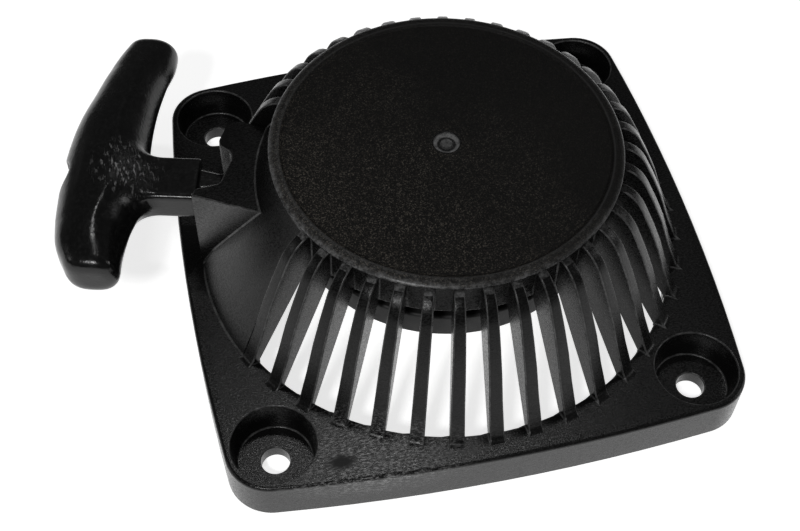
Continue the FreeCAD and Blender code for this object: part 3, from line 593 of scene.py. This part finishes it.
def make_rope_coil(leave):
    """The rope on the reel: from its knot through the drum wall, then round it to the leaving point."""
    steps_per_turn, first_step = 60, 9
    wave_height, wave_per_step = 0.35, 0.11
    turns = 3.0 + (360.0 - leave) / 360.0
    points = [(12.6, 0.0, ROPE_HEIGHT), (15.6, 0.0, ROPE_HEIGHT), (17.2, -0.9, ROPE_HEIGHT)]
    for step in range(first_step, int(turns * steps_per_turn) + 1):
        share = step / (turns * steps_per_turn)
        points.append(polar(DRUM_TURN + (OUTER_TURN - DRUM_TURN) * share, -turns * 360.0 * share,
                            ROPE_HEIGHT + wave_height * math.sin(step * wave_per_step)))
    points.append(polar(OUTER_TURN, leave, ROPE_HEIGHT))
    coil = braided("rope_coil", *even_path(points, 0.36), ROPE_RADIUS, around=16)
    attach(coil, "reel")
    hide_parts("starter_rope_coil")


def make_rope_lead(leave):
    """The rope from the reel through the guide and the handle's nose to its knot.

    It slopes down by the play it has in the guide. The stretch between guide and handle is left
    plain, because that is the part that lengthens when the handle is pulled.
    """
    mouth = on_pull_line(NOSE_MOUTH)
    points = [polar(OUTER_TURN, leave, ROPE_HEIGHT), guide_point(GUIDE_INNER_END, GUIDE_PLAY),
              guide_point(GUIDE_OUTER_END, -GUIDE_PLAY), mouth, on_pull_line(LEAD_END)]
    path, at = even_path(points, 0.3)
    start, end = np.array(guide_point(FREE_FROM, -GUIDE_PLAY)), np.array(mouth)
    share = ((path - start) @ (end - start)) / ((end - start) @ (end - start))
    plain = np.clip(1.5 - np.abs(share - 0.5) * 2.0, 0.0, 1.0)
    lead = braided("rope_lead", path, at, ROPE_RADIUS, plain=plain)
    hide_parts("starter_rope_lead")
    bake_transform(lead)


def make_knot(name, middle, axis, size, radius, body, node_name, tail):
    """A tight overhand knot about an axis, with a short tail along it."""
    axis = Vector(axis).normalized()
    side = axis.cross(Vector((0.0, 0.0, 1.0))).normalized()
    up = axis.cross(side)
    turn = np.linspace(0.0, 2 * math.pi, 160, endpoint=False)
    flat = np.stack([np.sin(turn) + 2 * np.sin(2 * turn), np.cos(turn) - 2 * np.cos(2 * turn)], 1) * size
    lift = -1.2 * size * np.sin(3 * turn)
    path = (np.array(middle) + flat[:, :1] * np.array(side) + flat[:, 1:] * np.array(up)
            + lift[:, None] * np.array(axis))
    loop_length = 26.0
    loop = braided(name, path, turn / (2 * math.pi) * loop_length, radius, closed=True)
    ends = [Vector(middle) - axis * tail[0], Vector(middle) + axis * tail[1]]
    stub = braided(name + "_tail", *even_path(ends, 0.3), radius)
    for piece in (loop, stub):
        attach(piece, body)
    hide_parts(node_name)


# ---------------------------------------------------------------- pull handle, in millimetres

# Across the grip: distance from the stem's line, inner edge, outer edge, ridge, half thickness.
GRIP = [
    (-46.0, 63.6, 71.6, 67.6, 4.2), (-42.0, 63.2, 72.3, 67.9, 4.4), (-38.5, 62.4, 73.4, 68.4, 4.9),
    (-34.5, 62.3, 75.2, 68.4, 5.6), (-28.0, 63.6, 77.5, 69.0, 6.5), (-21.8, 64.4, 79.1, 69.8, 7.0),
    (-15.0, 64.7, 80.9, 71.0, 7.3), (-7.0, 64.5, 82.0, 70.9, 7.45), (1.0, 64.3, 82.2, 70.8, 7.45),
    (8.6, 64.4, 81.9, 71.2, 7.4), (14.0, 65.6, 81.4, 72.2, 7.1), (20.0, 66.3, 80.0, 72.4, 6.3),
    (24.6, 66.3, 77.6, 71.6, 5.3), (27.0, 66.5, 76.4, 71.2, 4.9), (31.0, 66.8, 74.5, 70.7, 4.6),
]
GRIP_ENDS = (-40.3, 26.4)
GRIP_END_ROUND = 2.6
STEM_HALF_WIDTH, STEM_HALF_HEIGHT, STEM_EDGE = 5.75, 3.6, 1.1
STEM_FROM, STEM_TO = 52.5, 74.0
STEM_FILLET = 4.2
NOSE_TIP, NOSE_TO = 47.2, 56.0
NOSE_HALF_WIDTH, NOSE_HALF_HEIGHT, NOSE_CHAMFER = 3.3, 2.5, 4.1
NOSE_TAPER, TAPER_LENGTH = 1.3, 6.0
DIAGONAL = 0.7071
ROPE_BORE = 1.95
KNOT_POCKET, POCKET_FLOOR = 4.3, 73.0
HANDLE_BOX = (46.6, -45.2, 17.0), (83.4, 30.0, 33.4)
HANDLE_STEP = 0.4


def grip_field(across, sizes, x, y, height):
    """The grip: rounded sections between its inner and outer edges, squarer towards both ends."""
    inner, outer, ridge, half = (np.interp(y, across, sizes[:, n]) for n in range(4))
    offset = x - ridge
    reach = np.where(offset > 0, outer - ridge, ridge - inner)
    endward = np.clip((np.abs(y + 7.5) - 22.0) / 12.0, 0.0, 1.0)
    power = np.where(offset > 0, 2.3, 1.45) + 0.9 * endward
    size = (np.abs(offset / reach) ** power + np.abs(height / half) ** power) ** (1.0 / power)
    grip = (size - 1.0) * np.minimum(reach, half) * 0.85
    middle, length = (GRIP_ENDS[0] + GRIP_ENDS[1]) / 2, (GRIP_ENDS[1] - GRIP_ENDS[0]) / 2
    return smooth_max(grip, np.abs(y - middle) - length, GRIP_END_ROUND)


def stem_field(x, y, height):
    """The flat stem with rounded edges."""
    side = np.abs(y - HANDLE_OFFSET) - STEM_HALF_WIDTH + STEM_EDGE
    rise = np.abs(height) - STEM_HALF_HEIGHT + STEM_EDGE
    stem = np.hypot(np.maximum(side, 0), np.maximum(rise, 0)) - STEM_EDGE
    stem = stem + np.minimum(np.maximum(side, rise), 0)
    return smooth_max(stem, np.maximum(STEM_FROM - x, x - STEM_TO), 0.5)


def nose_field(x, y, height):
    """The small chamfered nose that tapers towards the rope guide."""
    taper = NOSE_TAPER * np.clip((x - NOSE_TIP) / TAPER_LENGTH, 0.0, 1.0)
    wide, high = np.abs(y - HANDLE_OFFSET), np.abs(height)
    nose = smooth_max(wide - NOSE_HALF_WIDTH - taper, high - NOSE_HALF_HEIGHT - 0.4 * taper, 0.3)
    nose = smooth_max(nose, (wide + high - NOSE_CHAMFER - 1.2 * taper) * DIAGONAL, 0.3)
    return smooth_max(nose, np.maximum(NOSE_TIP - x, x - NOSE_TO), 0.8)


def handle_field():
    across, sizes = curve_through(GRIP)

    def field(x, y, z):
        height = z - HANDLE_HEIGHT
        solid = smooth_min(grip_field(across, sizes, x, y, height), stem_field(x, y, height), STEM_FILLET)
        solid = smooth_min(solid, nose_field(x, y, height), 0.5)
        around = np.hypot(y - HANDLE_OFFSET, height)
        solid = smooth_max(solid, ROPE_BORE - around, 0.4)
        pocket = smooth_max(around - KNOT_POCKET, POCKET_FLOOR - x, 0.5)
        return smooth_max(solid, -pocket, 0.9)

    return field


def make_handle():
    handle = object_from("handle", *mesh_from_field(handle_field(), *HANDLE_BOX, HANDLE_STEP), HANDLE)
    handle.data.transform(HANDLE_TURN)
    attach(handle, "handle")
    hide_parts("pull_handle")


make_handle()
make_rope_coil(leaving_angle())
make_rope_lead(leaving_angle())
make_knot("handle_knot", on_pull_line(76.6), PULL, 0.95, 1.15, "handle", "rope_handle_knot", (0.0, 3.6))
make_knot("reel_knot", (11.6, 0.0, 27.2), (1.0, 0.0, 0.0), 0.62, 1.05, "reel", "rope_reel_knot", (0.0, 0.9))


# ---------------------------------------------------------------- camera, floor and light

LENS, SENSOR = 60.5, 36.0
CAMERA_PLACE = (-51.75, -176.89, 250.92)
CAMERA_AZIMUTH, CAMERA_ELEVATION, CAMERA_ROLL = -13.56, 53.93, 1.74
FLOOR_REACH, FLOOR_GAP = 3.0, 0.0002
MIDDLE = (0.0, 0.0, 0.02)

# Lights: name, place, target, width, depth, power in watts.
LIGHTS = [
    ("overhead", (0.050, 0.268, 0.739), (0.0, -0.05, 0.01), 0.12, 0.05, 0.50),
    ("front", (-0.30, -0.50, 0.66), MIDDLE, 0.10, 0.10, 2.6),
    ("left", (-0.75, 0.05, 0.35), MIDDLE, 0.25, 0.25, 0.3),
    ("right", (0.75, -0.1, 0.40), MIDDLE, 0.25, 0.25, 0.6),
]


def rotation_from(azimuth, elevation, roll):
    """Camera axes for a view from azimuth and elevation, turned by roll about the view direction."""
    a, e, r = math.radians(azimuth), math.radians(elevation), math.radians(roll)
    back = Vector((math.sin(a) * math.cos(e), -math.cos(a) * math.cos(e), math.sin(e)))
    right = Vector((math.cos(a), math.sin(a), 0.0))
    up = back.cross(right)
    right, up = right * math.cos(r) + up * math.sin(r), up * math.cos(r) - right * math.sin(r)
    return Matrix((right, up, back)).transposed()


def make_camera():
    data = bpy.data.cameras.new("camera")
    data.lens = LENS
    data.sensor_width = SENSOR
    data.clip_start = 0.01
    data.clip_end = 20.0
    camera = bpy.data.objects.new("camera", data)
    bpy.context.scene.collection.objects.link(camera)
    camera.rotation_mode = "QUATERNION"
    turn = rotation_from(CAMERA_AZIMUTH, CAMERA_ELEVATION, CAMERA_ROLL)
    camera.rotation_quaternion = turn.to_quaternion()
    camera.location = Vector(CAMERA_PLACE) * MM
    bpy.context.scene.camera = camera


def area_light(name, place, target, width, depth, power):
    data = bpy.data.lights.new(name, "AREA")
    data.shape = "RECTANGLE"
    data.size = width
    data.size_y = depth
    data.energy = power
    lamp = bpy.data.objects.new(name, data)
    bpy.context.scene.collection.objects.link(lamp)
    lamp.location = place
    lamp.rotation_euler = (Vector(target) - Vector(place)).to_track_quat("-Z", "Y").to_euler()


def make_floor():
    """A wide pale floor just under the object, with a glow of its own so that it stays white."""
    height = cad_low.z - FLOOR_GAP
    corners = [(x * FLOOR_REACH, y * FLOOR_REACH, height) for x, y in ((-1, -1), (1, -1), (1, 1), (-1, 1))]
    mesh = bpy.data.meshes.new("floor")
    mesh.from_pydata(corners, [], [(0, 1, 2, 3)])
    floor = bpy.data.objects.new("floor", mesh)
    bpy.context.scene.collection.objects.link(floor)
    paint = Nodes("floor_paint", Roughness=0.6, Specular_IOR_Level=0.2, Emission_Strength=0.75,
                  Base_Color=grey(0.9), Emission_Color=grey(1.0))
    mesh.materials.append(paint.material)


def make_world():
    """Faint even light from all sides."""
    world = bpy.data.worlds.new("studio")
    bpy.context.scene.world = world
    world.use_nodes = True
    background = world.node_tree.nodes["Background"]
    background.inputs["Color"].default_value = grey(1.0)
    background.inputs["Strength"].default_value = 0.075


make_camera()
make_floor()
make_world()
for light in LIGHTS:
    area_light(*light)
bpy.context.scene.view_settings.view_transform = "Standard"
